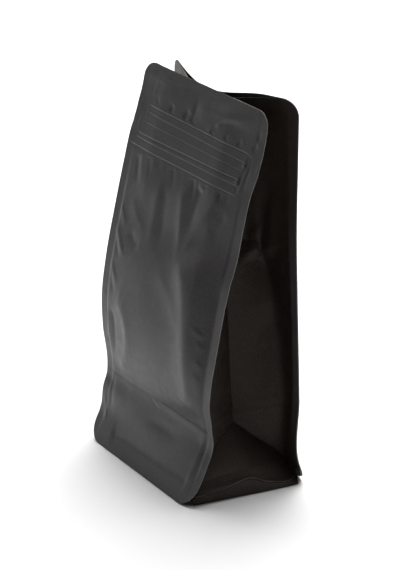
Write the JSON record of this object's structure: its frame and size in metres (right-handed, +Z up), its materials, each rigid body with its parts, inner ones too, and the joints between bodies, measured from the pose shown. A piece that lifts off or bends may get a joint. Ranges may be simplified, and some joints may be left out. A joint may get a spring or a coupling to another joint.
{
  "type": "flat-bottom pouch",
  "caption": "Empty flat-bottom side-gusset food pouch in matt black film, standing open, with folded sides and a press-to-close zip band.",
  "frame": {"origin": "on the floor under the middle of the pouch's box", "axes": "+Z up, the front panel faces -Y, X runs across the front"},
  "size_m": [0.1363, 0.09, 0.2609],
  "materials": {
    "panel_film": "soft matt laminate film, fine grain",
    "gusset_film": "matt laminate film, slightly glossier in the folds",
    "zip_plastic": "translucent extruded strip"
  },
  "bodies": {
    "root": {"front_panel": "panel_film", "back_panel": "panel_film", "gusset_left": "gusset_film", "gusset_right": "gusset_film", "base_film": "gusset_film", "zip_strip": "zip_plastic"}
  },
  "joints": []
}
